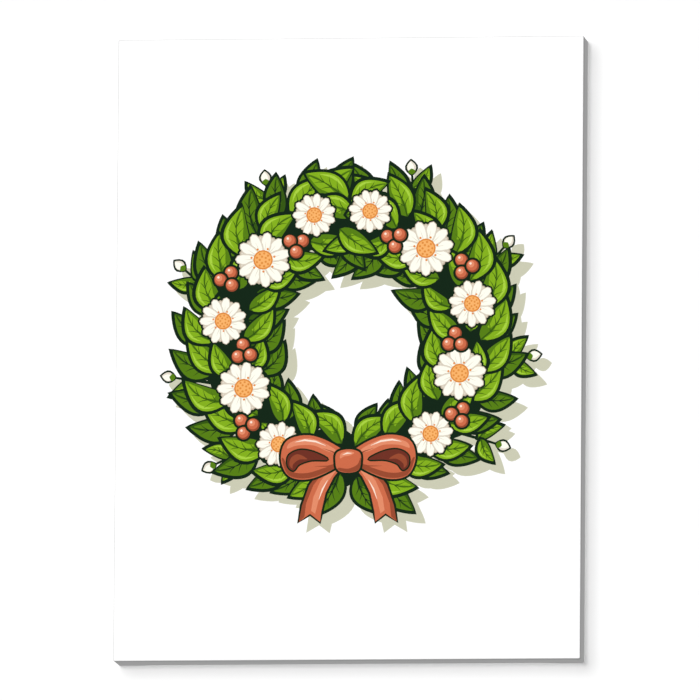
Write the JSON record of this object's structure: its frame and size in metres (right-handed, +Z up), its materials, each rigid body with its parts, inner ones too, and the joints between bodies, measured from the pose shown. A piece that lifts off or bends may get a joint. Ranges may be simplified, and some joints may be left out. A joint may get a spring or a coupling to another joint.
{
  "type": "stretched canvas wall print with a flower wreath picture",
  "caption": "Portrait canvas print wrapped over a mitred wooden stretcher frame with corner keys, stapled at the back, with a sawtooth hanger and felt bumpers.",
  "frame": {"origin": "on the middle notch of the sawtooth hanger, halfway through the plate, where the wall's nail carries the print", "axes": "+Z up along the long side, +Y from the printed front towards the wall, +X to the right of someone who looks at the front"},
  "size_m": [0.457, 0.0414, 0.61],
  "materials": {
    "canvas": "matte woven canvas, primed white and printed on the front",
    "pine": "planed, unfinished softwood",
    "beech": "sawn, unfinished hardwood",
    "staple_wire": "galvanised wire",
    "hanger_plate": "pressed steel with a thin brass plating",
    "nail_steel": "plated steel",
    "felt": "pressed felt"
  },
  "bodies": {
    "root": {"canvas": "canvas", "stretcher_top": "pine", "stretcher_right": "pine", "stretcher_bottom": "pine", "stretcher_left": "pine", "key_top_rear": "beech", "key_top_front": "beech", "key_right_rear": "beech", "key_right_front": "beech", "key_bottom_rear": "beech", "key_bottom_front": "beech", "key_left_rear": "beech", "key_left_front": "beech", "staple_top_1": "staple_wire", "staple_top_2": "staple_wire", "staple_top_3": "staple_wire", "staple_top_4": "staple_wire", "staple_top_5": "staple_wire", "staple_top_6": "staple_wire", "staple_top_7": "staple_wire", "staple_right_1": "staple_wire", "staple_right_2": "staple_wire", "staple_right_3": "staple_wire", "staple_right_4": "staple_wire", "staple_right_5": "staple_wire", "staple_right_6": "staple_wire", "staple_right_7": "staple_wire", "staple_right_8": "staple_wire", "staple_right_9": "staple_wire", "staple_bottom_1": "staple_wire", "staple_bottom_2": "staple_wire", "staple_bottom_3": "staple_wire", "staple_bottom_4": "staple_wire", "staple_bottom_5": "staple_wire", "staple_bottom_6": "staple_wire", "staple_bottom_7": "staple_wire", "staple_left_1": "staple_wire", "staple_left_2": "staple_wire", "staple_left_3": "staple_wire", "staple_left_4": "staple_wire", "staple_left_5": "staple_wire", "staple_left_6": "staple_wire", "staple_left_7": "staple_wire", "staple_left_8": "staple_wire", "staple_left_9": "staple_wire", "staple_corner_top_left": "staple_wire", "staple_corner_top_right": "staple_wire", "staple_corner_bottom_left": "staple_wire", "staple_corner_bottom_right": "staple_wire", "hanger_plate": "hanger_plate", "hanger_nail_left": "nail_steel", "hanger_nail_right": "nail_steel", "bumper_top_left": "felt", "bumper_top_right": "felt", "bumper_bottom_left": "felt", "bumper_bottom_right": "felt"}
  },
  "joints": []
}
